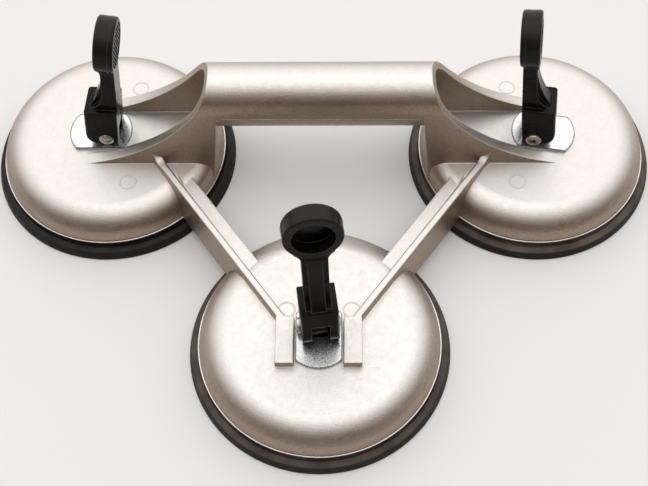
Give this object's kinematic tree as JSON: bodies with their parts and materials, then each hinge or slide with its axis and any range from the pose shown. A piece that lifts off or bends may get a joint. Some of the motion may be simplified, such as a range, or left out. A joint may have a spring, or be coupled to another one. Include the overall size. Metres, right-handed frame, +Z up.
{
  "type": "triple suction cup lifter",
  "caption": "Hand-held vacuum lifter: a cast frame with a round grip over rubber suction cups, each drawn up and locked by its own cam lever.",
  "frame": {"origin": "on the plane the cups seal against, midway between the rear cups in X and midway between the front cup and the rear cups in Y", "axes": "+X along the grip, +Y from the front cup to the grip, +Z up from the sealing plane"},
  "size_m": [0.3266, 0.2256, 0.1016],
  "materials": {
    "cast_aluminium": "satin, shot-blasted",
    "black_plastic": "satin moulded",
    "rubber": "matt moulded",
    "zinc_plate": "bright zinc plate",
    "steel": "plain steel",
    "spring_steel": "drawn wire",
    "rivet_steel": "zinc-plated rivet"
  },
  "bodies": {
    "frame": {"frame_casting": "cast_aluminium", "left_rubber_pad": "rubber", "left_wear_plate": "zinc_plate", "left_return_spring": "spring_steel", "right_rubber_pad": "rubber", "right_wear_plate": "zinc_plate", "right_return_spring": "spring_steel", "front_rubber_pad": "rubber", "front_wear_plate": "zinc_plate", "front_return_spring": "spring_steel"},
    "left_stud": {"left_backing_disc": "steel", "left_pull_stud": "steel"},
    "left_lever": {"left_cam_lever": "black_plastic", "left_rivet_pin": "rivet_steel"},
    "right_stud": {"right_backing_disc": "steel", "right_pull_stud": "steel"},
    "right_lever": {"right_cam_lever": "black_plastic", "right_rivet_pin": "rivet_steel"},
    "front_stud": {"front_backing_disc": "steel", "front_pull_stud": "steel"},
    "front_lever": {"front_cam_lever": "black_plastic", "front_rivet_pin": "rivet_steel"}
  },
  "joints": [
    {"name": "left_stud_lift", "type": "slide", "parent": "frame", "child": "left_stud", "axis": [0, 0, 1], "range_m": [0, 0.006], "deforming": ["left_return_spring", "left_rubber_pad"]},
    {"name": "left_lever_swing", "type": "hinge", "parent": "left_stud", "child": "left_lever", "pos_m": [-0.1035, 0.053, 0.0271], "axis": [-0.0523, -0.9986, 0], "range_deg": [0, 98]},
    {"name": "right_stud_lift", "type": "slide", "parent": "frame", "child": "right_stud", "axis": [0, 0, 1], "range_m": [0, 0.006], "deforming": ["right_return_spring", "right_rubber_pad"]},
    {"name": "right_lever_swing", "type": "hinge", "parent": "right_stud", "child": "right_lever", "pos_m": [0.1035, 0.053, 0.0271], "axis": [0.1547, 0.988, 0], "range_deg": [0, 98]},
    {"name": "front_stud_lift", "type": "slide", "parent": "frame", "child": "front_stud", "axis": [0, 0, 1], "range_m": [0, 0.006], "deforming": ["front_return_spring", "front_rubber_pad"]},
    {"name": "front_lever_swing", "type": "hinge", "parent": "front_stud", "child": "front_lever", "pos_m": [0, -0.053, 0.0271], "axis": [0.9903, 0.1392, 0], "range_deg": [0, 98]}
  ],
  "couplings": [
    {"joint": "left_stud_lift", "follows": "left_lever_swing", "m_per_rad": 0.0035079},
    {"joint": "right_stud_lift", "follows": "right_lever_swing", "m_per_rad": 0.0035079},
    {"joint": "front_stud_lift", "follows": "front_lever_swing", "m_per_rad": 0.0035079}
  ]
}
